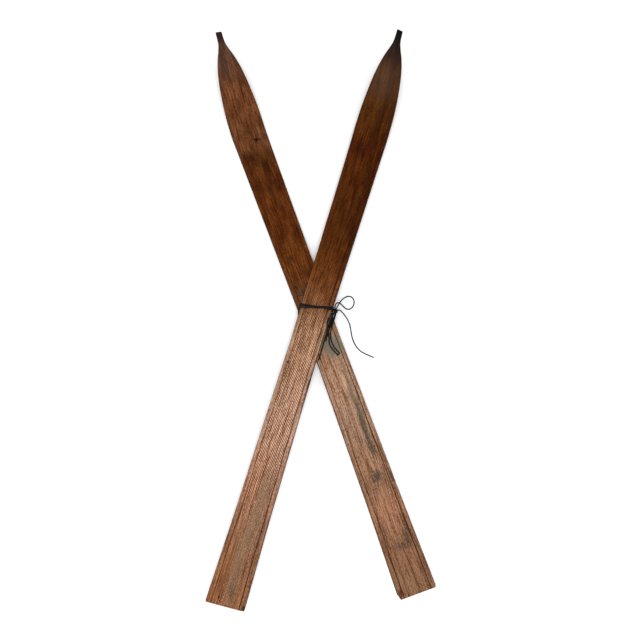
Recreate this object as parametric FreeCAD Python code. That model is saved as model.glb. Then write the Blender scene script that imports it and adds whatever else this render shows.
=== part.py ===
import FreeCAD, Part

import math
import os

# A pair of plain wooden skis, crossed in a long X and tied at the crossing with a thin lace.
# Millimetres. Z is up, Y halves the angle between the two tips, and the origin is on the
# floor under the crossing.

Vector = FreeCAD.Vector

# One ski, in its own frame: Y runs from the tail to the tip, X across, and Z is up.
TAIL_HALF_WIDTH = 46.2
FLARE_HALF_WIDTH = 42.0
FLARE_AT = 205.0
WAIST_HALF_WIDTH = 37.25
WAIST_AT = 643.0
WAIST_BLEND = 60.0
SHOVEL_HALF_WIDTH = 45.1
SHOVEL_AT = 1195.0
TAIL_CORNER = 3.5
# From the widest place to the narrow tab at the end of the tip: half width, distance.
TIP_OUTLINE = [
    (45.9, 1245.0),
    (44.7, 1305.0),
    (39.2, 1365.0),
    (32.2, 1405.0),
    (23.6, 1433.0),
    (14.6, 1453.0),
    (9.6, 1467.0),
]
TAB_HALF_WIDTH = 8.0
TAB_END_LEFT = 1492.0
TAB_END_RIGHT = 1489.0
# Old boards warp: past this distance each tip drifts to the right, by so much per millimetre.
DRIFT_FROM = 1245.0
FRONT_DRIFT = 0.006
REAR_DRIFT = 0.0315

CAMBER = 8.0
CAMBER_AT = 592.0
TIP_RADIUS = 495.0
TIP_THICKNESS = 7.5
TAIL_THICKNESS = 9.0
TAIL_SLOPE = 0.045
PLATFORM_TOP = 26.0
PLATFORM_START = 525.0
PLATFORM_END = 725.0
PROFILE_END = 1510.0

SCORE_SHARE = 0.72
SCORE_WIDTH = 2.0
SCORE_DEPTH = 1.0
SCORE_END = 1155.0
TRACK_WIDTH = 12.0
TRACK_DEPTH = 1.5
TRACK_END = 1125.0
SIDE_MARGIN = 20.0
HEIGHT_MARGIN = 200.0

# The crossing.
HALF_ANGLE = math.radians(17.99)
FRONT_CROSSING = 727.0
REAR_CROSSING = 709.5
FRONT_LIFT = 19.0

# The lace.
LACE = 3.0
LACE_GAP = 0.35
TURN_COUNT = 3
TURN_PITCH = 3.4
TURN_CORNER = 1.9
TURN_BASE_Z = 5.4
TURN_KNEE_Z = 31.0
BAND_GAP = 0.75
BAND_LEFT_Y = 14.5
BAND_RIGHT_Y = 4.4
LEFT_SPREAD = 1.2
KNOT_CENTRE = Vector(49.0, 0.0, 37.0)
KNOT_HALF_SIZE = Vector(6.6, 8.6, 7.6)
BEND_SHARE = 0.45

FLOOR_LACE = 1.8
SKI_LACE = PLATFORM_TOP + LACE_GAP + LACE / 2
OVER_LACE = FRONT_LIFT + PLATFORM_TOP + LACE + LACE / 2

UPPER_LOOP = [
    (51.0, 4.5, 38.7),
    (55.0, 12.3, 37.6),
    (59.3, 21.0, 34.6),
    (64.6, 29.8, 28.5),
    (72.4, 39.9, 17.0),
    (83.0, 48.6, 5.5),
    (93.5, 46.5, FLOOR_LACE),
    (98.9, 35.2, FLOOR_LACE),
    (96.2, 22.8, FLOOR_LACE),
    (87.6, 14.6, 2.4),
    (78.8, 12.8, 7.0),
    (71.5, 16.2, 15.0),
    (65.6, 21.2, 22.2),
    (59.6, 24.6, 27.4),
    (53.9, 23.3, 31.5),
    (50.0, 18.3, 34.4),
    (48.6, 12.2, 35.3),
    (48.7, 6.4, 35.1),
]
LONG_TAIL = [
    (52.8, 1.5, 37.5),
    (58.5, 4.0, 37.0),
    (65.5, 0.0, 30.0),
    (73.5, -7.0, 19.0),
    (81.0, -16.5, 8.0),
    (86.0, -29.0, 2.2),
    (87.5, -45.0, FLOOR_LACE),
    (90.0, -62.0, FLOOR_LACE),
    (97.0, -80.0, FLOOR_LACE),
    (108.5, -94.5, FLOOR_LACE),
    (125.0, -104.0, FLOOR_LACE),
    (141.5, -111.3, FLOOR_LACE),
]
LOWER_LOOP = [
    (47.0, -4.0, 41.0),
    (40.5, -10.0, 48.0),
    (31.5, -19.5, OVER_LACE),
    (27.5, -32.0, OVER_LACE),
    (28.5, -44.5, 48.5),
    (30.5, -55.5, 39.5),
    (31.7, -65.5, 30.5),
    (31.4, -77.0, SKI_LACE),
    (34.6, -87.0, SKI_LACE),
    (40.4, -95.4, SKI_LACE),
    (45.1, -101.5, SKI_LACE),
    (48.5, -105.6, SKI_LACE),
    (51.1, -108.1, SKI_LACE),
    (54.0, -108.1, SKI_LACE),
    (56.0, -106.0, SKI_LACE),
    (56.0, -103.1, SKI_LACE),
    (53.4, -100.4, SKI_LACE),
    (49.7, -96.8, SKI_LACE),
    (45.0, -91.2, SKI_LACE),
    (40.2, -82.4, SKI_LACE),
    (36.7, -71.4, SKI_LACE),
    (35.2, -60.2, SKI_LACE),
    (36.3, -48.6, SKI_LACE),
    (39.9, -36.4, 28.2),
    (43.9, -25.6, 29.8),
    (47.4, -15.8, 32.8),
    (49.6, -8.4, 36.2),
    (50.8, -2.8, 39.2),
]
SHORT_TAIL = [
    (45.6, -5.2, 33.0),
    (41.2, -12.0, 31.4),
    (36.9, -21.0, 29.2),
    (31.9, -33.5, SKI_LACE),
    (27.5, -49.0, SKI_LACE),
    (20.4, -70.0, SKI_LACE),
    (12.9, -96.5, SKI_LACE),
    (4.1, -121.5, SKI_LACE),
]
SPARE_TAIL = [
    (49.0, -6.2, 33.4),
    (45.6, -12.8, 31.6),
    (41.4, -21.8, 29.4),
    (36.2, -33.8, SKI_LACE),
    (31.3, -47.6, SKI_LACE),
    (27.0, -61.0, SKI_LACE),
    (23.6, -73.5, SKI_LACE),
]


def half_width_at(distance):
    """Half the ski's width, from the tail to the shovel."""
    if distance < FLARE_AT:
        share = distance / FLARE_AT
        return TAIL_HALF_WIDTH + share * (FLARE_HALF_WIDTH - TAIL_HALF_WIDTH)
    if distance < WAIST_AT:
        share = (distance - FLARE_AT) / (WAIST_AT - FLARE_AT)
        return FLARE_HALF_WIDTH + share * (WAIST_HALF_WIDTH - FLARE_HALF_WIDTH)
    share = (distance - WAIST_AT) / (SHOVEL_AT - WAIST_AT)
    return WAIST_HALF_WIDTH + share * (SHOVEL_HALF_WIDTH - WAIST_HALF_WIDTH)


def drifted(x, y, drift):
    """A point of the outline, moved to the right by the warp of the tip."""
    return Vector(x + drift * max(y - DRIFT_FROM, 0), y, 0)


def flat_side(side, drift):
    """One long edge in plan, from the tail's corner to the tab, with side +1 for the right."""
    tail = Vector(side * (TAIL_HALF_WIDTH - TAIL_CORNER), 0, 0)
    corner_middle = TAIL_CORNER * (1 - math.sqrt(0.5))
    rounded = Vector(side * (TAIL_HALF_WIDTH - corner_middle), corner_middle, 0)
    straight = Vector(side * half_width_at(TAIL_CORNER), TAIL_CORNER, 0)
    flare = Vector(side * FLARE_HALF_WIDTH, FLARE_AT, 0)
    before = WAIST_AT - WAIST_BLEND
    after = WAIST_AT + WAIST_BLEND
    enter = Vector(side * half_width_at(before), before, 0)
    waist = Vector(side * WAIST_HALF_WIDTH, WAIST_AT, 0)
    leave = Vector(side * half_width_at(after), after, 0)
    shovel = Vector(side * SHOVEL_HALF_WIDTH, SHOVEL_AT, 0)
    blend = Part.BezierCurve()
    blend.setPoles([enter, waist, leave])
    tip_points = [shovel] + [drifted(side * x, y, drift) for x, y in TIP_OUTLINE]
    tip = Part.BSplineCurve()
    tip.interpolate(tip_points)
    tab_end = TAB_END_RIGHT if side > 0 else TAB_END_LEFT
    tab = drifted(side * TAB_HALF_WIDTH, tab_end, drift)
    curves = [
        Part.Arc(tail, rounded, straight),
        Part.LineSegment(straight, flare),
        Part.LineSegment(flare, enter),
        blend,
        Part.LineSegment(leave, shovel),
        tip,
        Part.LineSegment(tip_points[-1], tab),
    ]
    return [curve.toShape() for curve in curves], tail, tab


def plan_prism(drift):
    """The ski's outline, as tall as any part of it."""
    right, right_tail, right_tab = flat_side(1, drift)
    left, left_tail, left_tab = flat_side(-1, drift)
    ends = [Part.makeLine(left_tail, right_tail), Part.makeLine(right_tab, left_tab)]
    wire = Part.Wire(Part.__sortEdges__(right + left + ends))
    face = Part.Face(wire)
    face.translate(Vector(0, 0, -SIDE_MARGIN))
    return face.extrude(Vector(0, 0, HEIGHT_MARGIN))


def arc_between(centre_y, centre_z, radius, start_angle, end_angle):
    """An arc in the side view; its angles are measured from straight down, towards the tip."""
    points = []
    for angle in (start_angle, (start_angle + end_angle) / 2, end_angle):
        points.append(
            Vector(0, centre_y + radius * math.sin(angle), centre_z - radius * math.cos(angle))
        )
    return Part.Arc(*points).toShape(), points[-1]


def base_edges():
    """The running surface from the tail to the tip: a camber arc, then the tip's arc."""
    camber_radius = (CAMBER_AT**2 + CAMBER**2) / (2 * CAMBER)
    camber_centre = CAMBER - camber_radius
    tip_at = CAMBER_AT + math.sqrt(
        (camber_radius + TIP_RADIUS) ** 2 - (TIP_RADIUS - camber_centre) ** 2
    )
    meet = math.asin((tip_at - CAMBER_AT) / (camber_radius + TIP_RADIUS))
    meeting = Vector(
        0,
        CAMBER_AT + camber_radius * math.sin(meet),
        camber_centre + camber_radius * math.cos(meet),
    )
    top = Vector(0, CAMBER_AT, CAMBER)
    camber = Part.Arc(Vector(0, 0, 0), top, meeting).toShape()
    end_angle = math.asin((PROFILE_END - tip_at) / TIP_RADIUS)
    tip, tip_end = arc_between(tip_at, TIP_RADIUS, TIP_RADIUS, -meet, end_angle)
    return [camber, tip], tip_end, tip_at, end_angle


def top_edges(drop):
    """The upper face from the tail to the tip, lowered by drop."""
    _, _, tip_at, end_angle = base_edges()
    tail_z = TAIL_THICKNESS - drop
    platform_z = PLATFORM_TOP - drop
    shovel_z = TIP_THICKNESS - drop
    rise_start = PLATFORM_START / 3
    rise_end = PLATFORM_START * 2 / 3
    fall = (tip_at - PLATFORM_END) / 3
    rise = Part.BezierCurve()
    rise.setPoles(
        [
            Vector(0, 0, tail_z),
            Vector(0, rise_start, tail_z + TAIL_SLOPE * rise_start),
            Vector(0, rise_end, platform_z),
            Vector(0, PLATFORM_START, platform_z),
        ]
    )
    platform_start = Vector(0, PLATFORM_START, platform_z)
    platform_end = Vector(0, PLATFORM_END, platform_z)
    falling = Part.BezierCurve()
    falling.setPoles(
        [
            platform_end,
            Vector(0, PLATFORM_END + fall, platform_z),
            Vector(0, tip_at - fall, shovel_z),
            Vector(0, tip_at, shovel_z),
        ]
    )
    radius = TIP_RADIUS - TIP_THICKNESS + drop
    tip, tip_end = arc_between(tip_at, TIP_RADIUS, radius, 0, end_angle)
    edges = [
        rise.toShape(),
        Part.makeLine(platform_start, platform_end),
        falling.toShape(),
        tip,
    ]
    return edges, Vector(0, 0, tail_z), tip_end


def across(edges, half_width):
    """A closed outline in the side view, drawn out over the width."""
    face = Part.Face(Part.Wire(Part.__sortEdges__(edges)))
    face.translate(Vector(-half_width, 0, 0))
    return face.extrude(Vector(2 * half_width, 0, 0))


def side_prism():
    """The ski's side view, wider than the ski."""
    base, base_end, _, _ = base_edges()
    top, top_start, top_end = top_edges(0)
    ends = [Part.makeLine(Vector(0, 0, 0), top_start), Part.makeLine(base_end, top_end)]
    return across(base + top + ends, TAIL_HALF_WIDTH + SIDE_MARGIN)


def score_cutter():
    """Two thin strips that follow the ski's edges and reach one score's depth into its top."""
    top, start, end = top_edges(SCORE_DEPTH)
    high = HEIGHT_MARGIN
    roof = [
        Part.makeLine(start, Vector(0, 0, high)),
        Part.makeLine(Vector(0, 0, high), Vector(0, end.y, high)),
        Part.makeLine(Vector(0, end.y, high), end),
    ]
    above = across(top + roof, TAIL_HALF_WIDTH)
    strips = []
    for side in (-1, 1):
        inner = []
        outer = []
        for distance in (-1.0, FLARE_AT, WAIST_AT, SCORE_END):
            middle = SCORE_SHARE * half_width_at(distance)
            inner.append(Vector(side * (middle - SCORE_WIDTH / 2), distance, 0))
            outer.append(Vector(side * (middle + SCORE_WIDTH / 2), distance, 0))
        face = Part.Face(Part.makePolygon(inner + outer[::-1] + inner[:1]))
        strips.append(face.extrude(Vector(0, 0, high)).common(above))
    return Part.makeCompound(strips)


def track_cutter():
    """The shallow groove along the middle of the running surface."""
    base, base_end, _, _ = base_edges()
    base = [edge.translated(Vector(0, 0, TRACK_DEPTH)) for edge in base]
    start = Vector(0, 0, TRACK_DEPTH)
    end = base_end + Vector(0, 0, TRACK_DEPTH)
    low = -SIDE_MARGIN
    floor = [
        Part.makeLine(start, Vector(0, 0, low)),
        Part.makeLine(Vector(0, 0, low), Vector(0, end.y, low)),
        Part.makeLine(Vector(0, end.y, low), end),
    ]
    below = across(base + floor, TRACK_WIDTH / 2)
    length = Part.makeBox(TRACK_WIDTH, TRACK_END, HEIGHT_MARGIN, Vector(-TRACK_WIDTH / 2, 0, low))
    return below.common(length)


def make_ski(drift):
    """One ski: what its outline and its side view share, less its grooves."""
    board = plan_prism(drift).common(side_prism())
    return board.cut(score_cutter()).cut(track_cutter()).Solids[0]


def laid(ski, crossing, lean, lift):
    """A ski moved so that the point at crossing is over the origin, and leaning left by lean."""
    placed = ski.copy()
    placed.translate(Vector(0, -crossing, lift))
    placed.rotate(Vector(0, 0, 0), Vector(0, 0, 1), math.degrees(lean))
    return placed


def rounded_path(points, radius, closed):
    """Straight runs joined by tangent arcs, and the radii of the arcs."""
    count = len(points)
    corners = range(count) if closed else range(1, count - 1)
    enter = list(points)
    leave = list(points)
    arcs = {}
    radii = []
    for i in corners:
        back = points[i - 1] - points[i]
        ahead = points[(i + 1) % count] - points[i]
        half_turn = (math.pi - back.getAngle(ahead)) / 2
        bend = radius
        if bend is None:
            bend = BEND_SHARE * min(back.Length, ahead.Length) / math.tan(half_turn)
        setback = bend * math.tan(half_turn)
        back.normalize()
        ahead.normalize()
        enter[i] = points[i] + back * setback
        leave[i] = points[i] + ahead * setback
        inward = back + ahead
        inward.normalize()
        to_centre = bend / math.cos(half_turn)
        arcs[i] = Part.Arc(enter[i], points[i] + inward * (to_centre - bend), leave[i]).toShape()
        radii.append(bend)
    edges = []
    for i in range(count if closed else count - 1):
        if i in arcs:
            edges.append(arcs[i])
        edges.append(Part.makeLine(leave[i], enter[(i + 1) % count]))
    return Part.Wire(edges), radii


def lace_stretch(edge):
    """The lace along one straight run or one arc."""
    at = edge.FirstParameter
    disc = Part.Face(Part.Wire(Part.makeCircle(LACE / 2, edge.valueAt(at), edge.tangentAt(at))))
    if isinstance(edge.Curve, Part.Line):
        return disc.extrude(edge.valueAt(edge.LastParameter) - edge.valueAt(at))
    turn = math.degrees(edge.LastParameter - at)
    return disc.revolve(edge.Curve.Center, edge.Curve.Axis, turn)


def lace_tube(name, points, radius=None, closed=False):
    """A round lace along the rounded route through points."""
    path, radii = rounded_path([Vector(*point) for point in points], radius, closed)
    stretches = [lace_stretch(edge) for edge in path.Edges]
    solid = stretches[0].multiFuse(stretches[1:]).Solids[0]
    expected = math.pi * LACE**2 / 4 * path.Length
    print(
        f"{name}: length {path.Length:.1f}, radii {[round(bend, 1) for bend in radii]},"
        f" volume share {solid.Volume / expected:.4f}, valid {solid.isValid()}"
    )
    return solid


def beside(lean, crossing, side, y, gap):
    """The point at y where a lace runs down one long side of a ski, a gap away from it."""
    along = Vector(-math.sin(lean), math.cos(lean), 0)
    out = Vector(side * math.cos(lean), side * math.sin(lean), 0)
    distance = half_width_at(crossing) + gap + LACE / 2
    step = (y - out.y * distance) / along.y
    point = out * distance + along * step
    return point.x, point.y


def turn_points(shift):
    """The corners of one turn of the lashing: over the upper ski and under the lower one."""
    over = FRONT_LIFT + PLATFORM_TOP + BAND_GAP + LACE / 2
    left_shift = shift * LEFT_SPREAD
    left_y = BAND_LEFT_Y + left_shift
    top_left = beside(-HALF_ANGLE, FRONT_CROSSING, -1, left_y, BAND_GAP)
    top_right = beside(-HALF_ANGLE, FRONT_CROSSING, 1, BAND_RIGHT_Y + shift, BAND_GAP)
    notch_x = beside(-HALF_ANGLE, FRONT_CROSSING, 1, abs(left_shift), LACE_GAP)[0]
    return [
        (*top_left, over),
        (*top_right, over),
        (notch_x, shift, TURN_KNEE_Z),
        (notch_x, shift, TURN_BASE_Z),
        (-notch_x, left_shift, TURN_BASE_Z),
        (-notch_x, left_shift, TURN_KNEE_Z),
    ]


def make_knot():
    """The body of the bow's knot, outside the right notch."""
    ball = Part.makeSphere(1.0)
    stretch = FreeCAD.Matrix()
    stretch.scale(KNOT_HALF_SIZE)
    knot = ball.transformGeometry(stretch)
    knot.translate(KNOT_CENTRE)
    return knot


def main():
    os.makedirs("parts", exist_ok=True)
    nodes = {
        "front_ski": laid(make_ski(FRONT_DRIFT), FRONT_CROSSING, -HALF_ANGLE, FRONT_LIFT),
        "rear_ski": laid(make_ski(REAR_DRIFT), REAR_CROSSING, HALF_ANGLE, 0),
        "bow_knot": make_knot(),
    }
    for number in range(TURN_COUNT):
        shift = (number - (TURN_COUNT - 1) / 2) * TURN_PITCH
        name = f"lashing_turn_{number + 1}"
        nodes[name] = lace_tube(name, turn_points(shift), TURN_CORNER, True)
    routes = {
        "lace_loop_upper": UPPER_LOOP,
        "lace_tail_long": LONG_TAIL,
        "lace_loop_lower": LOWER_LOOP,
        "lace_tail_short": SHORT_TAIL,
        "lace_tail_spare": SPARE_TAIL,
    }
    for name, route in routes.items():
        nodes[name] = lace_tube(name, route)
    for name, shape in nodes.items():
        shape.exportStep(f"parts/{name}.step")


main()
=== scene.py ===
import math

import bmesh
import bpy
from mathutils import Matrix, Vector, noise


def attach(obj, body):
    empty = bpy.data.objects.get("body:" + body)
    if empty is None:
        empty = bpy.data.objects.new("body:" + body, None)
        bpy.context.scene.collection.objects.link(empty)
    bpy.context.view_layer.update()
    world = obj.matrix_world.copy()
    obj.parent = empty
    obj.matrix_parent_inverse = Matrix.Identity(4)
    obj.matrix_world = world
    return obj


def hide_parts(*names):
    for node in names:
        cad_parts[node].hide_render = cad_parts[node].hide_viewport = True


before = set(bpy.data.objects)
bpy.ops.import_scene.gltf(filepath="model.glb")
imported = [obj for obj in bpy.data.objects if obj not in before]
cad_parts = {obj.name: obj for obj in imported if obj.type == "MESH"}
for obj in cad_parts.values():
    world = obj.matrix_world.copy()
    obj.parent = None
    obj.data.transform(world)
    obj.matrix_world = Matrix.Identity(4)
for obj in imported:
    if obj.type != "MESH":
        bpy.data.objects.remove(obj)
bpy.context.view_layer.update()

# A pair of old wooden skis that lie crossed on the floor, tied with a black lace.
# The shapes of the skis and laces are given in millimetres, and MM turns them into metres.
# The camera, the lights, the floor, the lengths of the laces and the depths of the bumps are
# in metres. All are in the row frame, apart from each ski's own across, along and up.

MM = 0.001
HALF_ANGLE = math.radians(17.99)

# One ski, in its own frame: across, along from the tail, and up.
LENGTH_MM = 1492.0
TAIL_HALF_MM = 46.2
WAIST_HALF_MM = 37.25
SHOVEL_HALF_MM = 45.1
SHOVEL_AT_MM = 1195.0
# Half widths at distances from the tail: straight sides from the tail over the waist to the
# shovel, and then the curve of the tip.
SIDE_OUTLINE_MM = [
    (0.0, TAIL_HALF_MM),
    (205.0, 42.0),
    (643.0, WAIST_HALF_MM),
    (SHOVEL_AT_MM, SHOVEL_HALF_MM),
]
TIP_OUTLINE_MM = [
    (SHOVEL_AT_MM, SHOVEL_HALF_MM),
    (1245.0, 45.9),
    (1305.0, 44.7),
    (1365.0, 39.2),
    (1405.0, 32.2),
    (1433.0, 23.6),
    (1453.0, 14.6),
    (1467.0, 9.6),
    (1490.5, 8.0),
]
END_MM = TIP_OUTLINE_MM[-1][0]
# How the tip's curve runs on before its first point and after its last.
CURVE_LEAD_IN_MM = (-50.0, -0.7)
CURVE_LEAD_OUT_MM = (21.0, -1.0)
TAB_START_MM = 1467.0
TAB_HALF_MM = 8.0
TAB_SLANT_MM = 1.5
DRIFT_FROM_MM = 1245.0
TAIL_CORNER_MM = 3.5
CAMBER_MM = 8.0
CAMBER_AT_MM = 592.0
TIP_RADIUS_MM = 495.0
CAMBER_RADIUS_MM = (CAMBER_AT_MM**2 + CAMBER_MM**2) / (2 * CAMBER_MM)
TIP_AT_MM = CAMBER_AT_MM + math.sqrt(
    (CAMBER_RADIUS_MM + TIP_RADIUS_MM) ** 2 - (TIP_RADIUS_MM + CAMBER_RADIUS_MM - CAMBER_MM) ** 2
)
TAIL_THICK_MM = 9.0
TAIL_SLOPE = 0.045
PLATFORM_MM = 26.0
PLATFORM_START_MM = 525.0
PLATFORM_END_MM = 725.0
TIP_THICK_MM = 7.5
SCORE_SHARE = 0.72
SCORE_END_MM = 1155.0
TRACK_END_MM = 1125.0

# Lean of the whole ski, place of the crossing, height, sideways drift of the warped tip,
# slant of the tail end, and a number that makes its wood its own.
SKIS = {
    "front": {
        "lean": -HALF_ANGLE, "crossing": 727.0, "lift": 19.0,
        "drift": 0.006, "tail_slant": 1.9, "seed": 4.0,
    },
    "rear": {
        "lean": HALF_ANGLE, "crossing": 709.5, "lift": 0.0,
        "drift": 0.0315, "tail_slant": 0.0, "seed": 11.0,
    },
}

# The lace: its thickness, and heights of its middle on the floor, on the lower ski and over
# the upper one.
LACE_MM = 3.0
FLOOR_LACE = 1.8
SKI_LACE = 27.85
OVER_LACE = 49.5
UPPER_LOOP = [
    (51.0, 4.5, 38.7),
    (55.0, 12.3, 37.6),
    (59.3, 21.0, 34.6),
    (64.6, 29.8, 28.5),
    (72.4, 39.9, 17.0),
    (83.0, 48.6, 5.5),
    (93.5, 46.5, FLOOR_LACE),
    (98.9, 35.2, FLOOR_LACE),
    (96.2, 22.8, FLOOR_LACE),
    (87.6, 14.6, 2.4),
    (78.8, 12.8, 7.0),
    (71.5, 16.2, 15.0),
    (65.6, 21.2, 22.2),
    (59.6, 24.6, 27.4),
    (53.9, 23.3, 31.5),
    (50.0, 18.3, 34.4),
    (48.6, 12.2, 35.3),
    (48.7, 6.4, 35.1),
]
LONG_TAIL = [
    (52.8, 1.5, 37.5),
    (58.5, 4.0, 37.0),
    (65.5, 0.0, 30.0),
    (73.5, -7.0, 19.0),
    (81.0, -16.5, 8.0),
    (86.0, -29.0, 2.2),
    (87.5, -45.0, FLOOR_LACE),
    (90.0, -62.0, FLOOR_LACE),
    (97.0, -80.0, FLOOR_LACE),
    (108.5, -94.5, FLOOR_LACE),
    (125.0, -104.0, FLOOR_LACE),
    (141.5, -111.3, FLOOR_LACE),
]
LOWER_LOOP = [
    (47.0, -4.0, 41.0),
    (40.5, -10.0, 48.0),
    (31.5, -19.5, OVER_LACE),
    (27.5, -32.0, OVER_LACE),
    (28.5, -44.5, 48.5),
    (30.5, -55.5, 39.5),
    (31.7, -65.5, 30.5),
    (31.4, -77.0, SKI_LACE),
    (34.6, -87.0, SKI_LACE),
    (40.4, -95.4, SKI_LACE),
    (45.1, -101.5, SKI_LACE),
    (48.5, -105.6, SKI_LACE),
    (51.1, -108.1, SKI_LACE),
    (54.0, -108.1, SKI_LACE),
    (56.0, -106.0, SKI_LACE),
    (56.0, -103.1, SKI_LACE),
    (53.4, -100.4, SKI_LACE),
    (49.7, -96.8, SKI_LACE),
    (45.0, -91.2, SKI_LACE),
    (40.2, -82.4, SKI_LACE),
    (36.7, -71.4, SKI_LACE),
    (35.2, -60.2, SKI_LACE),
    (36.3, -48.6, SKI_LACE),
    (39.9, -36.4, 28.2),
    (43.9, -25.6, 29.8),
    (47.4, -15.8, 32.8),
    (49.6, -8.4, 36.2),
    (50.8, -2.8, 39.2),
]
SHORT_TAIL = [
    (45.6, -5.2, 33.0),
    (41.2, -12.0, 31.4),
    (36.9, -21.0, 29.2),
    (31.9, -33.5, SKI_LACE),
    (27.5, -49.0, SKI_LACE),
    (20.4, -70.0, SKI_LACE),
    (12.9, -96.5, SKI_LACE),
    (4.1, -121.5, SKI_LACE),
]
SPARE_TAIL = [
    (49.0, -6.2, 33.4),
    (45.6, -12.8, 31.6),
    (41.4, -21.8, 29.4),
    (36.2, -33.8, SKI_LACE),
    (31.3, -47.6, SKI_LACE),
    (27.0, -61.0, SKI_LACE),
    (23.6, -73.5, SKI_LACE),
]


# The camera looks down on the crossing from in front.
CAMERA_LENS_MM = 54.0
CAMERA_SENSOR_MM = 36.0
CAMERA_PLACE = (-0.0065, -0.6722, 2.3070)
CAMERA_TILT = math.radians(16.0)
CAMERA_SWING = math.radians(-1.51)
# Soft lights that all face the crossing: place and size in metres, power in watts.
SOFTBOXES = {
    "top_softbox": ((0.0, -0.9, 3.0), (1.6, 1.2), 71.0),
    "left_softbox": ((-2.1, 0.2, 1.9), (1.6, 2.6), 21.0),
    "right_softbox": ((2.1, 0.2, 1.9), (1.6, 2.6), 21.0),
    "tail_softbox": ((0.0, -2.4, 1.6), (2.2, 1.0), 11.0),
}
SKY_STRENGTH = 0.48
FLOOR_REACH = 6.0
FLOOR_COLOUR = (0.93, 0.93, 0.93, 1.0)


def place_camera():
    data = bpy.data.cameras.new("camera")
    data.lens = CAMERA_LENS_MM
    data.sensor_width = CAMERA_SENSOR_MM
    camera = bpy.data.objects.new("camera", data)
    camera.location = CAMERA_PLACE
    camera.rotation_euler = (CAMERA_TILT, 0.0, CAMERA_SWING)
    bpy.context.scene.collection.objects.link(camera)
    bpy.context.scene.camera = camera


def add_softbox(name, place, size, power):
    data = bpy.data.lights.new(name, "AREA")
    data.shape = "RECTANGLE"
    data.size, data.size_y = size
    data.energy = power
    light = bpy.data.objects.new(name, data)
    light.location = place
    direction = -Vector(place)
    light.rotation_euler = direction.to_track_quat("-Z", "Y").to_euler()
    bpy.context.scene.collection.objects.link(light)


def light_studio():
    scene = bpy.context.scene
    scene.view_settings.view_transform = "Standard"
    world = bpy.data.worlds.new("studio")
    world.use_nodes = True
    background = world.node_tree.nodes["Background"]
    background.inputs["Color"].default_value = (1.0, 1.0, 1.0, 1.0)
    background.inputs["Strength"].default_value = SKY_STRENGTH
    scene.world = world
    for name, (place, size, power) in SOFTBOXES.items():
        add_softbox(name, place, size, power)


def floor_material():
    material = bpy.data.materials.new("pale_floor")
    material.use_nodes = True
    shader = material.node_tree.nodes["Principled BSDF"]
    shader.inputs["Base Color"].default_value = FLOOR_COLOUR
    shader.inputs["Roughness"].default_value = 0.9
    shader.inputs["Specular IOR Level"].default_value = 0.1
    return material


def add_floor():
    mesh = bpy.data.meshes.new("floor")
    reach = FLOOR_REACH
    corners = [(-reach, -reach, 0), (reach, -reach, 0), (reach, reach, 0), (-reach, reach, 0)]
    mesh.from_pydata(corners, [], [(0, 1, 2, 3)])
    floor = bpy.data.objects.new("floor", mesh)
    mesh.materials.append(floor_material())
    bpy.context.scene.collection.objects.link(floor)


def bevelled_lace(name, strands, material):
    """Round laces along smooth ways: strands is a list of (points in millimetres, closed)."""
    curve = bpy.data.curves.new(name, "CURVE")
    curve.dimensions = "3D"
    for route, closed in strands:
        spline = curve.splines.new("NURBS")
        spline.points.add(len(route) - 1)
        for point, place in zip(spline.points, route):
            point.co = (place[0] * MM, place[1] * MM, place[2] * MM, 1.0)
        spline.order_u = 3
        spline.use_endpoint_u = not closed
        spline.use_cyclic_u = closed
        spline.resolution_u = 8
    curve.bevel_depth = LACE_MM * MM / 2
    curve.bevel_resolution = 3
    curve.use_fill_caps = True
    curve.materials.append(material)
    lace = bpy.data.objects.new(name, curve)
    bpy.context.scene.collection.objects.link(lace)
    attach(lace, "front")
    return lace


def add_free_laces(material):
    for name, node, route, length, far_end in (
        ("upper_loop", "lace_loop_upper", UPPER_LOOP, 0.1778, "object"),
        ("long_tail", "lace_tail_long", LONG_TAIL, 0.1700, "bare"),
        ("lower_loop", "lace_loop_lower", LOWER_LOOP, 0.2445, "object"),
        ("short_tail", "lace_tail_short", SHORT_TAIL, 0.1243, "bare"),
        ("spare_tail", "lace_tail_spare", SPARE_TAIL, 0.0726, "bare"),
    ):
        lace = bevelled_lace(name, [(route, False)], material)
        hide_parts(node)


# The lashing: where its three turns cross the edges of the upper ski, and where they lie
# under the lower one.
LASHING_TOP = 46.65
LASHING_OVER = 49.5
LASHING_BASE = 5.6
LASHING_KNEE = 31.0
WALL_LEAN = math.tan(HALF_ANGLE)
LEFT_WALL = -41.1
RIGHT_WALL = 40.4
WALL_GAP = 1.85
NOTCH = 42.5
LASHING_LEFT_Y = (10.2, 14.4, 18.6)
LASHING_RIGHT_Y = (0.9, 4.4, 7.8)
NOTCH_SHIFTS = (-3.6, 0.0, 3.6)
CORNER_REACH = 3.0
# The way of each turn over the upper ski, between its two edges.
OVER_SKI = [
    [(6.5, 7.2, LASHING_TOP)],
    [(6.5, 10.7, LASHING_TOP)],
    [
        (-27.0, 16.8, LASHING_TOP), (-19.0, 14.8, 48.0), (-11.0, 12.8, LASHING_OVER),
        (6.5, 8.95, LASHING_OVER), (21.0, 5.5, LASHING_OVER), (28.0, 3.7, 48.2), (35.0, 2.0, LASHING_TOP),
    ],
]
# The place on the right where each turn comes down, which is also the turn that follows it.
RIGHT_ORDER = (1, 2, 0)


def corner_points(points, reach):
    """Each corner of a closed way, with a point on both sides that keeps the bend near it."""
    route = []
    for i, corner in enumerate(points):
        before = Vector(points[i - 1]) - Vector(corner)
        after = Vector(points[(i + 1) % len(points)]) - Vector(corner)
        route.append(Vector(corner) + before * min(reach / before.length, 0.45))
        route.append(Vector(corner))
        route.append(Vector(corner) + after * min(reach / after.length, 0.45))
    return route


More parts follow.
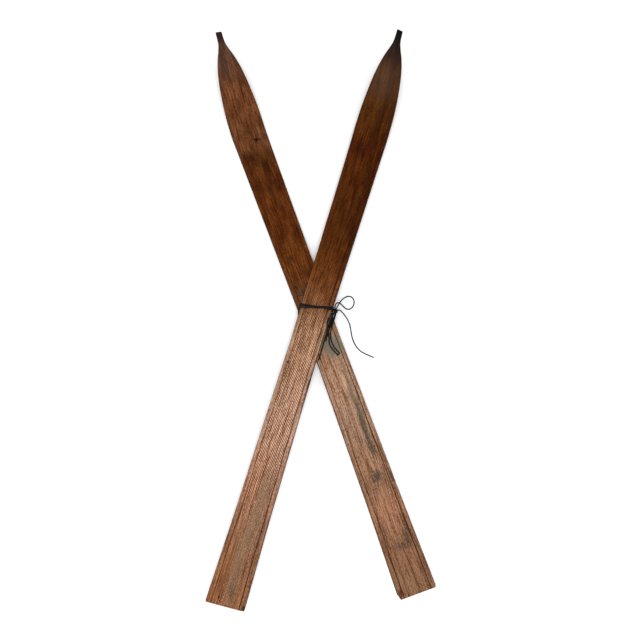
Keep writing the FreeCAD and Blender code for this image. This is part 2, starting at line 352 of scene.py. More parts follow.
def add_lashing(material):
    """One closed lace in three turns round both skis."""
    corners = []
    turn = 2
    for _ in range(3):
        left_y = LASHING_LEFT_Y[turn]
        end = RIGHT_ORDER[turn]
        right_y = LASHING_RIGHT_Y[end]
        corners.append((LEFT_WALL + WALL_LEAN * left_y - WALL_GAP, left_y, LASHING_TOP))
        corners += OVER_SKI[turn]
        corners.append((RIGHT_WALL + WALL_LEAN * right_y + WALL_GAP, right_y, LASHING_TOP))
        corners.append((NOTCH, NOTCH_SHIFTS[end], LASHING_KNEE))
        corners.append((NOTCH, NOTCH_SHIFTS[end], LASHING_BASE))
        corners.append((-NOTCH, NOTCH_SHIFTS[end], LASHING_BASE))
        corners.append((-NOTCH, NOTCH_SHIFTS[end], LASHING_KNEE))
        turn = end
    lashing = bevelled_lace("lashing_turns", [(corner_points(corners, CORNER_REACH), True)], material)
    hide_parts("lashing_turn_1", "lashing_turn_2", "lashing_turn_3")


# The knot: a wrap of two and a half turns round the strands that pass through it.
KNOT_RING = (49.6, 37.2)
KNOT_RING_RADIUS = 4.104
KNOT_WRAP_STEPS = 20
KNOT_WRAP_TURN = math.radians(45)
KNOT_WRAP_START = math.radians(200)
KNOT_WRAP_WIDTH = 6.0
KNOT_WRAP_SWAY = 0.8
# Three strands join the ends of two laces that leave the knot, and the last goes from the end
# of the lower loop to the lashing's side of the knot.
KNOT_STRANDS = [
    [(51.0, 4.5, 38.7), (49.6, 1.5, 38.9), (48.6, -1.2, 39.6), (47.0, -4.0, 41.0)],
    [(48.7, 6.4, 35.1), (49.0, 2.5, 35.6), (48.2, -1.8, 35.2), (45.6, -5.2, 33.0)],
    [(52.8, 1.5, 37.5), (50.4, 0.0, 36.6), (49.8, -3.0, 35.2), (49.0, -6.2, 33.4)],
    [(50.8, -2.8, 39.2), (50.0, 0.6, 39.8), (47.6, 4.0, 39.0), (44.6, 5.6, 37.0)],
]
# A short bight of the knot, pulled down flat on the strands that leave it.
KNOT_BIGHT = [
    (47.0, 1.0, 39.6),
    (46.2, -4.6, 38.0),
    (42.9, -11.5, 35.0),
    (39.3, -19.5, 32.7),
    (35.6, -28.0, 31.4),
    (33.2, -34.8, 31.0),
    (33.0, -38.6, 30.9),
    (35.2, -40.0, 30.9),
    (37.4, -37.8, 30.9),
    (39.2, -32.0, 31.2),
    (42.6, -22.4, 32.6),
    (46.2, -13.6, 35.2),
    (48.6, -5.6, 38.0),
    (48.4, 1.4, 39.8),
]


def add_knot(material):
    wrap = []
    for step in range(KNOT_WRAP_STEPS + 1):
        angle = KNOT_WRAP_START + KNOT_WRAP_TURN * step
        x = KNOT_RING[0] + KNOT_RING_RADIUS * math.cos(angle)
        y = KNOT_WRAP_WIDTH * (step / KNOT_WRAP_STEPS - 0.5) + KNOT_WRAP_SWAY * math.sin(angle)
        z = KNOT_RING[1] + KNOT_RING_RADIUS * math.sin(angle)
        wrap.append((x, y, z))
    strands = [(route, False) for route in [wrap, *KNOT_STRANDS, KNOT_BIGHT]]
    knot = bevelled_lace("knot_strands", strands, material)
    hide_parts("bow_knot")


def half_width(along):
    for (start, half), (end, end_half) in zip(SIDE_OUTLINE_MM, SIDE_OUTLINE_MM[1:]):
        if along < end:
            return half + (along - start) / (end - start) * (end_half - half)
    return smooth_curve(TIP_OUTLINE_MM, along)


def smooth_curve(points, at):
    """A Catmull-Rom curve through (at, value) points."""
    last = len(points) - 2
    index = 0
    while index < last and at > points[index + 1][0]:
        index += 1
    x1, y1 = points[index]
    x2, y2 = points[index + 1]
    x0, y0 = points[index - 1] if index else (x1 + CURVE_LEAD_IN_MM[0], y1 + CURVE_LEAD_IN_MM[1])
    x3, y3 = points[index + 2] if index < last else (x2 + CURVE_LEAD_OUT_MM[0], y2 + CURVE_LEAD_OUT_MM[1])
    step = x2 - x1
    share = (at - x1) / step
    slope1 = (y2 - y0) / (x2 - x0) * step
    slope2 = (y3 - y1) / (x3 - x1) * step
    a = 2 * y1 - 2 * y2 + slope1 + slope2
    b = -3 * y1 + 3 * y2 - 2 * slope1 - slope2
    return ((a * share + b) * share + slope1) * share + y1


def bezier(poles, share):
    rest = 1.0 - share
    a, b, c, d = poles
    return a * rest**3 + 3 * b * rest**2 * share + 3 * c * rest * share**2 + d * share**3


def base_height(along):
    if along < TIP_AT_MM:
        arc = math.sqrt(CAMBER_RADIUS_MM**2 - (along - CAMBER_AT_MM) ** 2)
        return CAMBER_MM - CAMBER_RADIUS_MM + arc
    return TIP_RADIUS_MM - math.sqrt(TIP_RADIUS_MM**2 - (along - TIP_AT_MM) ** 2)


def top_height(along):
    if along < PLATFORM_START_MM:
        rise = TAIL_THICK_MM + TAIL_SLOPE * PLATFORM_START_MM / 3
        poles = (TAIL_THICK_MM, rise, PLATFORM_MM, PLATFORM_MM)
        return bezier(poles, along / PLATFORM_START_MM)
    if along < PLATFORM_END_MM:
        return PLATFORM_MM
    if along < TIP_AT_MM:
        poles = (PLATFORM_MM, PLATFORM_MM, TIP_THICK_MM, TIP_THICK_MM)
        return bezier(poles, (along - PLATFORM_END_MM) / (TIP_AT_MM - PLATFORM_END_MM))
    radius = TIP_RADIUS_MM - TIP_THICK_MM
    return TIP_RADIUS_MM - math.sqrt(radius**2 - (along - TIP_AT_MM) ** 2)


# Places where an edge is broken away or dented: side, along, length, depth, in millimetres.
EDGE_CHIPS_MM = {
    "front": [(1, 646.0, 9.0, 1.0), (-1, 300.0, 12.0, 0.7), (1, 1056.0, 10.0, 0.6), (-1, 911.0, 8.0, 0.7)],
    "rear": [(-1, 2.0, 24.0, 4.2), (1, 3.0, 5.0, 1.6), (-1, 474.0, 11.0, 0.8), (1, 864.0, 9.0, 0.8)],
}
TOP_ROUND_MM = 1.8
BASE_ROUND_MM = 1.2
END_ROUND_MM = 1.2
GROOVE_PROFILE_MM = [(-1.2, 0.0), (-0.8, 0.55), (-0.35, 1.0), (0.35, 1.0), (0.8, 0.55), (1.2, 0.0)]
TRACK_PROFILE_MM = [(-6.0, 0.0), (-5.2, 0.9), (-4.0, 1.4), (0.0, 1.5), (4.0, 1.4), (5.2, 0.9), (6.0, 0.0)]
SCORE_FADE_MM = 120.0
TRACK_FADE_MM = 30.0
STATION_STEP_MM = 3.5
NEAR_END_MM = [0.0, 0.12, 0.4, 0.8, 1.2, 2.0, 3.5]


def spread(first, last, count):
    """Evenly spaced values between first and last, with neither of them."""
    return [first + (last - first) * i / (count + 1) for i in range(1, count + 1)]


def fade(value, start, end):
    """1 before start, 0 after end, and smooth between them."""
    share = min(max((value - start) / (end - start), 0.0), 1.0)
    return 1.0 - share * share * (3.0 - 2.0 * share)


def end_inset(distance, radius):
    """How far a rounded end is drawn in at a distance from it."""
    if distance >= radius:
        return 0.0
    return radius - math.sqrt(radius**2 - (radius - distance) ** 2)


def edge_wear(name, side, along):
    """How far one edge of a ski is worn or chipped inwards."""
    seed = SKIS[name]["seed"]
    wave = noise.noise(Vector((along * 0.012, side * 3.0, seed)))
    fine = noise.noise(Vector((along * 0.11, side * 5.0, seed)))
    wear = 0.22 + 0.22 * wave + 0.12 * fine
    for chip_side, middle, length, depth in EDGE_CHIPS_MM[name]:
        reach = abs(along - middle) / (length / 2)
        if chip_side == side and reach < 1.0:
            wear += depth * (1.0 - reach**2) * (0.75 + 0.5 * fine)
    return max(wear, 0.0)


def rounded_corner(across, up, radius, start, steps, first_face, last_face):
    """A quarter circle, clockwise from the angle start, as (across, up, face) points."""
    points = []
    for step in range(steps + 1):
        share = step / steps
        angle = start - share * math.pi / 2
        face = first_face + share * (last_face - first_face)
        points.append((across + radius * math.cos(angle), up + radius * math.sin(angle), face))
    return points


def top_line(left, right, score):
    """The flat top from left to right as (across, depth) points, with a groove at each score."""
    groove = GROOVE_PROFILE_MM[-1][0]
    line = [(across, 0.0) for across in spread(left, -score - groove, 4)]
    line += [(across - score, depth) for across, depth in GROOVE_PROFILE_MM]
    line += [(across, 0.0) for across in spread(groove - score, score - groove, 20)]
    line += [(across + score, depth) for across, depth in GROOVE_PROFILE_MM]
    line += [(across, 0.0) for across in spread(score + groove, right, 4)]
    return line


def ski_section(name, along):
    """One closed outline across a ski: (across, up, face) points, where face is 1 on top and -1 below."""
    inset = end_inset(along, END_ROUND_MM) + end_inset(END_MM - along, END_ROUND_MM)
    corner = max(inset, end_inset(along, TAIL_CORNER_MM))
    half = half_width(along)
    left = -half + corner + edge_wear(name, -1, along)
    right = half - corner - edge_wear(name, 1, along)
    high = top_height(along) - inset
    low = base_height(along) + inset
    middle = (high + low) / 2
    top_round = min(TOP_ROUND_MM, (high - low) * 0.35)
    base_round = min(BASE_ROUND_MM, (high - low) * 0.2)
    score_depth = fade(along, SCORE_END_MM - SCORE_FADE_MM, SCORE_END_MM)
    track_depth = fade(along, TRACK_END_MM - TRACK_FADE_MM, TRACK_END_MM)

    points = rounded_corner(left + top_round, high - top_round, top_round, math.pi, 4, 0.0, 1.0)
    for across, depth in top_line(left + top_round, right - top_round, SCORE_SHARE * half):
        relief = 0.10 + 0.10 * noise.noise(Vector((across * 0.35, along * 0.012, SKIS[name]["seed"])))
        points.append((across, high - relief - depth * score_depth, 1.0))
    points += rounded_corner(right - top_round, high - top_round, top_round, math.pi / 2, 4, 1.0, 0.0)
    points.append((right, middle, 0.0))
    points += rounded_corner(right - base_round, low + base_round, base_round, 0.0, 3, 0.0, -1.0)
    track_edge = TRACK_PROFILE_MM[-1][0]
    points += [(across, low, -1.0) for across in spread(right - base_round, track_edge, 5)]
    points += [(across, low + depth * track_depth, -1.0) for across, depth in reversed(TRACK_PROFILE_MM)]
    points += [(across, low, -1.0) for across in spread(-track_edge, left + base_round, 5)]
    points += rounded_corner(left + base_round, low + base_round, base_round, -math.pi / 2, 3, -1.0, 0.0)
    points.append((left, middle, 0.0))
    return points


def ski_stations():
    """Distances from the tail, closer together at both rounded ends."""
    first = NEAR_END_MM[-1]
    last = END_MM - first
    count = round((last - first) / STATION_STEP_MM)
    between = spread(first, last, count - 1)
    return NEAR_END_MM + between + [END_MM - distance for distance in reversed(NEAR_END_MM)]


def in_row(name, across, along, up):
    """A point of a ski, in its own millimetres, in the row frame."""
    ski = SKIS[name]
    ahead = along - ski["crossing"]
    turn = ski["lean"]
    x = across * math.cos(turn) - ahead * math.sin(turn)
    y = across * math.sin(turn) + ahead * math.cos(turn)
    return (x * MM, y * MM, (up + ski["lift"]) * MM)


def wood_girth(across, depth, face):
    """The way round the board from the middle of its top, so that grain also runs along the walls."""
    if face < -0.99:
        return across
    return across + math.copysign(max(depth, 0.0), across)


def end_slant(name, along):
    """How far a section leans along the ski per millimetre across, at the tail end and the tab's end."""
    at_tail = SKIS[name]["tail_slant"] * fade(along, 0.0, 60.0) / TAIL_HALF_MM
    at_tab = TAB_SLANT_MM * (1.0 - fade(along, TAB_START_MM - 8.0, LENGTH_MM)) / TAB_HALF_MM
    return at_tail - at_tab


def add_values(mesh, name, kind, field, values):
    attribute = mesh.attributes.new(name, kind, "POINT")
    attribute.data.foreach_set(field, values)


def ski_mesh(name):
    """A closed mesh of one ski, with each point's place on the board for the material."""
    vertices, board, girth, face_up = [], [], [], []
    rings = []
    for along in ski_stations():
        ring = []
        slant = end_slant(name, along)
        drift = SKIS[name]["drift"] * max(along - DRIFT_FROM_MM, 0.0)
        half = half_width(along)
        for across, up, face in ski_section(name, along):
            shifted = along + slant * across
            ring.append(len(vertices))
            vertices.append(in_row(name, across + drift, shifted, up))
            board += [across * MM, shifted * MM, across / half]
            girth.append(wood_girth(across, top_height(along) - up, face) * MM)
            face_up.append(face)
        rings.append(ring)
    faces = [rings[0], rings[-1][::-1]]
    for near, far in zip(rings, rings[1:]):
        for i in range(len(near)):
            j = (i + 1) % len(near)
            faces.append((near[i], far[i], far[j], near[j]))
    mesh = bpy.data.meshes.new(f"{name}_ski_wood")
    mesh.from_pydata(vertices, [], faces)
    add_values(mesh, "board", "FLOAT_VECTOR", "vector", board)
    add_values(mesh, "girth", "FLOAT", "value", girth)
    add_values(mesh, "face_up", "FLOAT", "value", face_up)
    work = bmesh.new()
    work.from_mesh(mesh)
    bmesh.ops.recalc_face_normals(work, faces=work.faces)
    work.to_mesh(mesh)
    work.free()
    mesh.shade_smooth()
    mesh.set_sharp_from_angle(angle=math.radians(50))
    return mesh


def add_ski(name, material):
    mesh = ski_mesh(name)
    mesh.materials.append(material)
    wood = bpy.data.objects.new(f"{name}_ski_wood", mesh)
    bpy.context.scene.collection.objects.link(wood)
    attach(wood, name)
    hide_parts(f"{name}_ski")


def linear(value):
    share = value / 255.0
    return share / 12.92 if share <= 0.04045 else ((share + 0.055) / 1.055) ** 2.4


def paint(red, green, blue):
    return (linear(red), linear(green), linear(blue), 1.0)


class Nodes:
    """Short calls that add shader nodes to one material and link them."""

    def __init__(self, name):
        self.material = bpy.data.materials.new(name)
        self.material.use_nodes = True
        self.tree = self.material.node_tree
        self.shader = self.tree.nodes["Principled BSDF"]

    def connect(self, value, socket):
        if isinstance(value, bpy.types.NodeSocket):
            self.tree.links.new(value, socket)
        else:
            socket.default_value = value

    def attribute(self, name):
        node = self.tree.nodes.new("ShaderNodeAttribute")
        node.attribute_name = name
        return node

    def split(self, vector):
        node = self.tree.nodes.new("ShaderNodeSeparateXYZ")
        self.connect(vector, node.inputs[0])
        return node.outputs

    def join(self, x, y, z):
        node = self.tree.nodes.new("ShaderNodeCombineXYZ")
        for value, socket in zip((x, y, z), node.inputs):
            self.connect(value, socket)
        return node.outputs[0]

    def math(self, operation, a, b=0.0):
        node = self.tree.nodes.new("ShaderNodeMath")
        node.operation = operation
        self.connect(a, node.inputs[0])
        self.connect(b, node.inputs[1])
        return node.outputs[0]

    def add(self, a, b):
        return self.math("ADD", a, b)

    def multiply(self, a, b):
        return self.math("MULTIPLY", a, b)

    def stretch(self, value, low, high, out_low=0.0, out_high=1.0):
        """value from low..high to out_low..out_high, smooth and held at both ends."""
        node = self.tree.nodes.new("ShaderNodeMapRange")
        node.interpolation_type = "SMOOTHSTEP"
        self.connect(value, node.inputs["Value"])
        node.inputs["From Min"].default_value = low
        node.inputs["From Max"].default_value = high
        node.inputs["To Min"].default_value = out_low
        node.inputs["To Max"].default_value = out_high
        return node.outputs["Result"]

    def between(self, value, low, high, soft):
        """1 where value lies between low and high, with soft ends."""
        rising = self.stretch(value, low - soft, low + soft)
        falling = self.stretch(value, high - soft, high + soft, 1.0, 0.0)
        return self.multiply(rising, falling)

    def noise(self, vector, scale, detail=2.0, roughness=0.5):
        node = self.tree.nodes.new("ShaderNodeTexNoise")
        self.connect(vector, node.inputs["Vector"])
        node.inputs["Scale"].default_value = scale
        node.inputs["Detail"].default_value = detail
        node.inputs["Roughness"].default_value = roughness
        return node.outputs["Fac"]

    def ramp(self, value, stops):
        node = self.tree.nodes.new("ShaderNodeValToRGB")
        elements = node.color_ramp.elements
        while len(elements) < len(stops):
            elements.new(0.5)
        for element, (place, colour) in zip(elements, stops):
            element.position = place
            element.color = colour
        self.connect(value, node.inputs[0])
        return node.outputs[0]

    def mix(self, share, a, b, blend="MIX"):
        node = self.tree.nodes.new("ShaderNodeMix")
        node.data_type = "RGBA"
        node.blend_type = blend
        self.connect(share, node.inputs[0])
        self.connect(a, node.inputs[6])
        self.connect(b, node.inputs[7])
        return node.outputs[2]

    def glaze(self, share, colour, tint):
        """colour, multiplied by tint where share is 1."""
        return self.mix(share, colour, self.mix(1.0, colour, tint, "MULTIPLY"))

    def scale_colour(self, colour, factor):
        node = self.tree.nodes.new("ShaderNodeVectorMath")
        node.operation = "SCALE"
        self.connect(colour, node.inputs[0])
        self.connect(factor, node.inputs["Scale"])
        return node.outputs[0]

    def patch(self, board, place, reach, turn, ragged, soft):
        """A ragged oval: 1 inside, 0 outside, in the units of board."""
        node = self.tree.nodes.new("ShaderNodeMapping")
        node.vector_type = "TEXTURE"
        self.connect(board, node.inputs["Vector"])
        node.inputs["Location"].default_value = (place[0], place[1], 0.0)
        node.inputs["Rotation"].default_value = (0.0, 0.0, turn)
        node.inputs["Scale"].default_value = (reach[0], reach[1], 1.0)
        length = self.tree.nodes.new("ShaderNodeVectorMath")
        length.operation = "LENGTH"
        self.connect(node.outputs[0], length.inputs[0])
        return self.stretch(self.add(length.outputs["Value"], ragged), 1.0 - soft, 1.0 + soft, 1.0, 0.0)

    def bump(self, height, strength, distance):
        node = self.tree.nodes.new("ShaderNodeBump")
        node.inputs["Strength"].default_value = strength
        node.inputs["Distance"].default_value = distance
        self.connect(height, node.inputs["Height"])
        return node.outputs[0]


# The mean colour along each ski: distance from the tail in millimetres, then red, green, blue.
SKI_COLOURS = {
    "front": [
        (25, 138, 94, 64), (145, 134, 97, 73), (265, 154, 114, 91), (385, 170, 134, 111),
        (475, 171, 136, 114), (565, 161, 125, 101), (625, 166, 131, 105), (685, 153, 117, 89),
        (745, 116, 76, 46), (805, 101, 57, 24), (865, 88, 46, 11), (925, 73, 36, 7),
        (1105, 71, 33, 5), (1195, 69, 30, 5), (1285, 72, 37, 4), (1345, 70, 38, 8),
        (1405, 66, 36, 10), (1440, 42, 21, 6), (1462, 22, 10, 4), (1478, 9, 6, 5),
    ],
    "rear": [
        (25, 128, 94, 69), (85, 124, 88, 63), (145, 138, 100, 76), (205, 152, 109, 83),
        (265, 138, 103, 79), (325, 148, 111, 85), (385, 147, 115, 92),
        (445, 156, 122, 100), (535, 164, 129, 104), (605, 150, 112, 88), (685, 140, 104, 76),
        (745, 112, 72, 44), (805, 92, 51, 18), (865, 101, 54, 17), (925, 84, 42, 11),
        (985, 87, 43, 11), (1115, 82, 42, 13), (1172, 81, 44, 15), (1200, 98, 58, 31),
        (1255, 99, 60, 34), (1345, 103, 60, 29), (1405, 90, 54, 30),
        (1455, 80, 52, 34), (1477, 40, 18, 10),
    ],
}
# The strength of the light that falls on the boards, which the colours above already hold.
LIGHT = 1.42

INK = (30, 24, 21)
SOOT = (58, 54, 48)
MOSS = (100, 92, 72)
GREY_WOOD = (128, 106, 84)
ORANGE_WOOD = (166, 104, 62)
RED_WOOD = (86, 30, 18)
PALE_WOOD = (216, 190, 170)

# Marks on the boards, and a few of painted sheen and shade: place (across, along), reach (half
# width, half length) in millimetres, turn in degrees, softness, strength and colour.
MARKS = {
    "front": [
        ((2.0, 66.0), (15.0, 70.0), 4, 0.7, 0.40, GREY_WOOD),
        ((7.0, 176.0), (15.0, 75.0), -6, 0.7, 0.40, GREY_WOOD),
        ((13.0, 291.0), (13.0, 80.0), -5, 0.7, 0.40, GREY_WOOD),
        ((-24.0, 101.0), (10.0, 60.0), 0, 0.7, 0.25, ORANGE_WOOD),
        ((6.0, 36.0), (9.0, 16.0), 20, 0.6, 0.35, SOOT),
        ((-26.6, 584.0), (1.6, 5.0), 18, 0.3, 0.9, INK),
        ((5.4, 572.0), (1.6, 1.8), 0, 0.3, 0.85, INK),
        ((0.5, 482.0), (1.4, 5.0), 8, 0.5, 0.7, PALE_WOOD),
        ((2.0, 445.0), (1.3, 7.0), -4, 0.5, 0.6, PALE_WOOD),
        ((3.0, 418.0), (1.2, 4.0), 10, 0.5, 0.6, PALE_WOOD),
        ((-19.4, 16.4), (2.2, 4.2), 24, 0.3, 0.8, INK),
        ((43.0, 9.0), (5.0, 6.0), 0, 0.4, 0.85, INK),
        ((37.4, 548.0), (1.8, 20.0), 0, 0.4, 0.85, INK),
        # Painted sheen: a paler brownish-grey patch where the turned-up front tip catches the light.
        ((-6.0, 1372.0), (24.0, 40.0), 0, 0.7, 0.22, (112, 82, 62)),
    ],
    "rear": [
        ((11.0, 617.0), (23.0, 34.0), 14, 0.35, 0.85, (113, 113, 100)),
        ((17.0, 455.0), (9.5, 125.0), -1, 0.6, 0.55, MOSS),
        ((17.0, 425.0), (6.5, 45.0), -4, 0.6, 0.45, SOOT),
        ((14.5, 362.0), (8.0, 34.0), 2, 0.6, 0.55, SOOT),
        ((3.6, 285.5), (9.0, 12.0), -20, 0.6, 0.75, SOOT),
        ((-2.0, 276.0), (12.0, 6.0), 10, 0.6, 0.35, SOOT),
        ((37.5, 270.5), (5.0, 13.0), 0, 0.5, 0.65, SOOT),
        ((24.0, 135.0), (9.0, 19.0), -10, 0.6, 0.55, SOOT),
        ((13.0, 112.0), (15.0, 9.0), 5, 0.6, 0.50, SOOT),
        ((-9.0, 115.0), (12.0, 8.0), 10, 0.7, 0.35, SOOT),
        ((-24.3, 567.5), (1.6, 1.8), 0, 0.3, 0.8, INK),
        ((-38.5, 12.5), (5.0, 10.0), -12, 0.35, 0.75, RED_WOOD),
        ((-21.6, 4.5), (1.8, 2.0), 0, 0.3, 0.85, INK),
        ((-24.4, 790.5), (1.4, 4.5), 30, 0.3, 0.85, INK),
        ((-14.0, 771.5), (8.0, 10.0), -20, 0.5, 0.6, SOOT),
        ((-12.0, 868.0), (5.0, 8.0), 10, 0.5, 0.6, INK),
        ((-2.0, 905.0), (1.4, 30.0), -3, 0.5, 0.45, INK),
        ((31.0, 935.5), (2.0, 16.0), 0, 0.5, 0.7, INK),
        ((3.5, 1062.5), (1.6, 15.0), 4, 0.5, 0.7, INK),
        ((17.0, 1127.5), (1.8, 14.0), -4, 0.5, 0.7, INK),
        # Painted shade: two dark patches that draw a diagonal shadow edge just below where the rear tip
        # turns up.
        ((-22.0, 1176.0), (15.0, 17.0), 40, 0.6, 0.40, (44, 22, 10)),
        ((0.0, 1150.0), (16.0, 22.0), 30, 0.7, 0.22, (44, 22, 10)),
        ((20.0, 1192.0), (9.0, 26.0), 0, 0.7, 0.30, (122, 72, 46)),
        ((13.2, 1215.5), (4.6, 5.2), 0, 0.5, 0.95, (22, 12, 8)),
        ((13.2, 1218.0), (1.9, 14.0), -18, 0.5, 0.85, (26, 14, 9)),
        ((14.0, 1216.0), (1.9, 13.0), 70, 0.5, 0.75, (30, 16, 10)),
        ((10.0, 1211.0), (1.8, 10.0), 30, 0.5, 0.65, (30, 16, 10)),
        # Painted sheen: a greyish patch on the turned-up rear tip.
        ((-12.0, 1412.0), (9.0, 26.0), 6, 0.6, 0.35, (70, 52, 42)),
    ],
}


def slanted_lines(nodes, across, along, ragged, turn, pitch):
    """Thin lines at a steady pitch, where turn is the way from one line to the next."""
    phase = nodes.add(nodes.multiply(across, math.cos(turn)), nodes.multiply(along, math.sin(turn)))
    phase = nodes.add(phase, nodes.multiply(ragged, 1.6))
    wave = nodes.math("SINE", nodes.multiply(phase, 2 * math.pi / pitch))
    return nodes.stretch(wave, -0.2, 0.75)


# Width and length of each size of grain, and how much of each goes into the whole.
GRAIN_SIZES_MM = [(13.0, 420.0), (3.4, 120.0), (2.3, 36.0), (2.0, 6.0)]
BARE_GRAIN_SHARES = {"front": (0.12, 0.26, 0.28, 0.34), "rear": (0.16, 0.26, 0.28, 0.30)}
VARNISHED_GRAIN_SHARES = (0.14, 0.28, 0.28, 0.30)
# Where the bare wood of the rear half goes over into the varnish of the front half.
VARNISH_FROM_MM = (715.0, 770.0)
# What the dark and the light fibres multiply the mean colour by, on bare and on varnished wood.
BARE_DARK = (0.42, 0.32, 0.24, 1.0)
BARE_LIGHT = (1.62, 1.63, 1.66, 1.0)
VARNISHED_DARK = (0.50, 0.35, 0.20, 1.0)
VARNISHED_LIGHT = (1.54, 1.60, 1.70, 1.0)
# The same for varnish where it is thin and where it is thick.
THIN_VARNISH = (1.36, 1.44, 1.62, 1.0)
THICK_VARNISH = (0.70, 0.60, 0.48, 1.0)
RELIEF_SHARES = (0.45, 0.30, 0.25)


def grain_lines(nodes, across, along, seed):
    """Four sizes of grain that runs along the board, from broad bands to short fibres."""
    sway = nodes.noise(nodes.join(0.0, nodes.multiply(along, 0.0024), seed), 1.0, 2.0)
    line = nodes.add(across, nodes.multiply(nodes.math("SUBTRACT", sway, 0.5), 24.0))
    layers = []
    for width, length in GRAIN_SIZES_MM:
        seed += 3.0
        place = nodes.join(nodes.multiply(line, 1.0 / width), nodes.multiply(along, 1.0 / length), seed)
        layers.append(nodes.noise(place, 1.0, 2.0, 0.55))
    return layers


def blend_layers(nodes, layers, shares):
    total = 0.0
    for layer, share in zip(layers, shares):
        total = nodes.add(nodes.multiply(layer, share), total)
    return total


def add_marks(nodes, name, across, along, ragged, colour):
    board = nodes.join(across, along, 0.0)
    for place, reach, turn, soft, strength, tint in MARKS[name]:
        patch = nodes.patch(board, place, reach, math.radians(turn), ragged, soft)
        colour = nodes.mix(nodes.multiply(patch, strength), colour, paint(*tint))
    return colour


HATCH_TURN = math.radians(48)


def add_hatch(nodes, across, along, share, ragged, colour):
    """Slanting lines between the scores, which fade out towards the tail and the varnish."""
    inside = nodes.stretch(nodes.math("ABSOLUTE", share), 0.66, 0.72, 1.0, 0.0)
    strength = nodes.multiply(nodes.between(along, 250.0, 796.0, 90.0), inside)
    strength = nodes.multiply(strength, nodes.stretch(along, 590.0, 740.0, 0.9, 0.62))
    lines = slanted_lines(nodes, across, along, ragged, HATCH_TURN, 5.0)
    return nodes.glaze(strength, colour, nodes.mix(lines, (1.32, 1.30, 1.28, 1.0), (0.36, 0.30, 0.27, 1.0)))


def add_tail_pattern(nodes, across, along, ragged, colour):
    """Near the tail: wavy crossing lines in the middle, and strong straight streaks on the left."""
    wavy = nodes.multiply(ragged, 3.5)
    fore = slanted_lines(nodes, across, along, wavy, HATCH_TURN, 5.2)
    back = slanted_lines(nodes, across, along, wavy, math.pi - HATCH_TURN, 5.8)
    check = nodes.add(nodes.multiply(fore, 0.5), nodes.multiply(back, 0.5))
    drifting = nodes.add(across, nodes.add(nodes.multiply(along, -0.04), nodes.multiply(ragged, 30.0)))
    middle = nodes.between(drifting, -18.0, 20.0, 9.0)
    middle = nodes.multiply(nodes.between(along, -80.0, 350.0, 50.0), middle)
    tint = nodes.mix(check, (1.34, 1.32, 1.28, 1.0), (0.46, 0.42, 0.40, 1.0))
    colour = nodes.glaze(nodes.multiply(middle, 0.7), colour, tint)

    place = nodes.join(nodes.multiply(across, 1.0 / 2.6), nodes.multiply(along, 1.0 / 190.0), 31.0)
    streak = nodes.stretch(nodes.noise(place, 1.0, 1.0), 0.38, 0.60)
    left = nodes.stretch(drifting, -20.0, -8.0, 1.0, 0.0)
    left = nodes.multiply(nodes.between(along, -80.0, 330.0, 70.0), left)
    tint = nodes.mix(streak, (0.42, 0.33, 0.27, 1.0), (1.32, 1.25, 1.16, 1.0))
    return nodes.glaze(nodes.multiply(left, 0.75), colour, tint)


def wood_grain(nodes, name, layers, varnished):
    """0 in dark fibres and 1 in light ones, with other contrasts on bare and on varnished wood."""
    bare = nodes.stretch(blend_layers(nodes, layers, BARE_GRAIN_SHARES[name]), 0.40, 0.60)
    coated = nodes.stretch(blend_layers(nodes, layers, VARNISHED_GRAIN_SHARES), 0.39, 0.61)
    change = nodes.math("SUBTRACT", coated, bare)
    return nodes.add(nodes.multiply(change, varnished), bare)


def add_grain(nodes, grain, varnished, colour):
    dark = nodes.mix(varnished, BARE_DARK, VARNISHED_DARK)
    light = nodes.mix(varnished, BARE_LIGHT, VARNISHED_LIGHT)
    return nodes.mix(1.0, colour, nodes.mix(grain, dark, light), "MULTIPLY")


def add_varnish(nodes, name, girth, along, share, varnished, colour):
    """Mottled varnish, which on the front ski is also thinner towards the left edge."""
    place = nodes.join(nodes.multiply(girth, 0.05), nodes.multiply(along, 0.018), SKIS[name]["seed"])
    cloud = nodes.noise(place, 1.0, 4.0, 0.6)
    if name == "front":
        cloud = nodes.add(cloud, nodes.multiply(share, 0.10))
    thick = nodes.stretch(cloud, 0.37, 0.63)
    tint = nodes.mix(thick, THIN_VARNISH, THICK_VARNISH)
    return nodes.glaze(nodes.multiply(varnished, 0.85), colour, tint)


def add_dark_scores_and_edge_shade(nodes, along, share, colour):
    """Darker in the scores, more so on the right, and painted shade along both edges."""
    side = nodes.math("ABSOLUTE", share)
    away = nodes.math("ABSOLUTE", nodes.math("SUBTRACT", side, SCORE_SHARE))
    in_score = nodes.stretch(away, 0.012, 0.034, 1.0, 0.0)
    on_right = nodes.stretch(share, -0.1, 0.1, 0.70, 0.95)
    score_fade = nodes.stretch(along, 800.0, 1150.0, 1.0, 0.0)
    in_score = nodes.multiply(nodes.multiply(in_score, score_fade), on_right)
    colour = nodes.mix(in_score, colour, paint(46, 18, 11))
    # Painted shade: the rounded edges of the top are darkened where they turn down to the walls.
    edge_shade = nodes.stretch(side, 0.945, 0.985)
    return nodes.mix(nodes.multiply(edge_shade, 0.7), colour, paint(44, 24, 16))


def add_wall_shade_and_tarred_base(nodes, grain, face_up, colour):
    """The walls are painted darker than the top as painted shade, and the base is tarred and worn."""
    # Painted shade: the walls are darkened by a flat factor to show the shade that falls on them.
    wall = nodes.mix(1.0, colour, (0.60, 0.54, 0.50, 1.0), "MULTIPLY")
    tar = nodes.mix(grain, paint(58, 36, 24), paint(128, 88, 60))
    colour = nodes.mix(nodes.stretch(face_up, 0.05, 0.6), wall, colour)
    return nodes.mix(nodes.stretch(face_up, -0.6, -0.2, 1.0, 0.0), colour, tar)


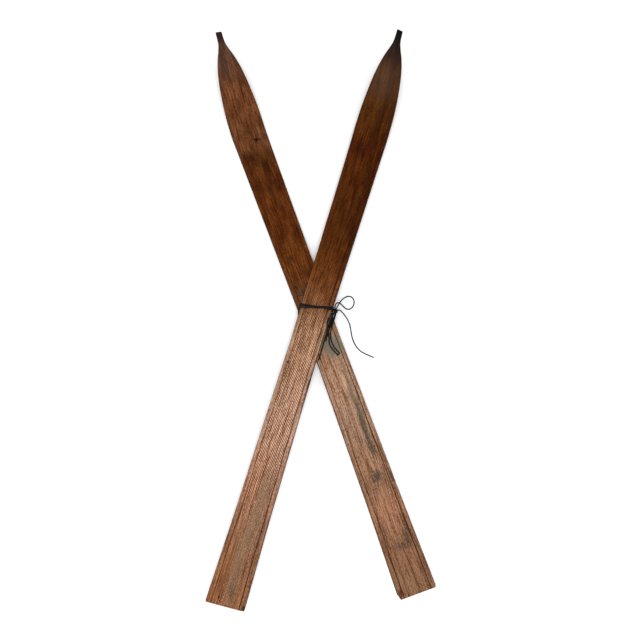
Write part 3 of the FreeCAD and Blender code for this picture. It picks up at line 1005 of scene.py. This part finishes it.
def wood_material(name):
    nodes = Nodes(f"{name}_wood")
    across, along, share = nodes.split(nodes.attribute("board").outputs["Vector"])
    across = nodes.multiply(across, 1.0 / MM)
    along = nodes.multiply(along, 1.0 / MM)
    girth = nodes.multiply(nodes.attribute("girth").outputs["Fac"], 1.0 / MM)
    face_up = nodes.attribute("face_up").outputs["Fac"]
    varnished = nodes.stretch(along, *VARNISH_FROM_MM)
    layers = grain_lines(nodes, girth, along, SKIS[name]["seed"])
    grain = wood_grain(nodes, name, layers, varnished)
    ragged = nodes.math("SUBTRACT", nodes.add(layers[2], layers[3]), 1.0)

    stops = [(place / LENGTH_MM, paint(*rest)) for place, *rest in SKI_COLOURS[name]]
    colour = nodes.ramp(nodes.multiply(along, 1.0 / LENGTH_MM), stops)
    colour = add_grain(nodes, grain, varnished, colour)
    colour = add_varnish(nodes, name, girth, along, share, varnished, colour)
    if name == "front":
        colour = add_hatch(nodes, across, along, share, ragged, colour)
        colour = add_tail_pattern(nodes, across, along, ragged, colour)
    colour = add_marks(nodes, name, across, along, nodes.multiply(ragged, 1.8), colour)
    colour = add_dark_scores_and_edge_shade(nodes, along, share, colour)
    colour = add_wall_shade_and_tarred_base(nodes, grain, face_up, colour)

    nodes.connect(nodes.scale_colour(colour, 1.0 / LIGHT), nodes.shader.inputs["Base Color"])
    nodes.shader.inputs["Specular IOR Level"].default_value = 0.04
    dullness = nodes.add(varnished, nodes.multiply(grain, -0.25))
    roughness = nodes.stretch(dullness, -0.25, 1.0, 0.68, 0.42)
    nodes.connect(roughness, nodes.shader.inputs["Roughness"])
    height = blend_layers(nodes, layers[1:], RELIEF_SHARES)
    nodes.connect(nodes.bump(height, 0.5, 0.0008), nodes.shader.inputs["Normal"])
    return nodes.material


def lace_material():
    nodes = Nodes("black_lace")
    place = nodes.tree.nodes.new("ShaderNodeTexCoord").outputs["Object"]
    fibre = nodes.noise(place, 900.0, 3.0, 0.6)
    worn = nodes.noise(place, 60.0, 2.0)
    colour = nodes.mix(nodes.stretch(fibre, 0.4, 0.75), paint(4, 4, 4), paint(18, 15, 14))
    colour = nodes.mix(nodes.multiply(nodes.stretch(worn, 0.55, 0.8), 0.25), colour, paint(44, 36, 31))
    nodes.connect(colour, nodes.shader.inputs["Base Color"])
    nodes.connect(nodes.stretch(fibre, 0.3, 0.7, 0.5, 0.7), nodes.shader.inputs["Roughness"])
    nodes.shader.inputs["Specular IOR Level"].default_value = 0.15
    nodes.connect(nodes.bump(fibre, 0.5, 0.0004), nodes.shader.inputs["Normal"])
    return nodes.material


place_camera()
light_studio()
add_floor()
lace_finish = lace_material()
add_free_laces(lace_finish)
for ski_name in SKIS:
    add_ski(ski_name, wood_material(ski_name))
add_lashing(lace_finish)
add_knot(lace_finish)
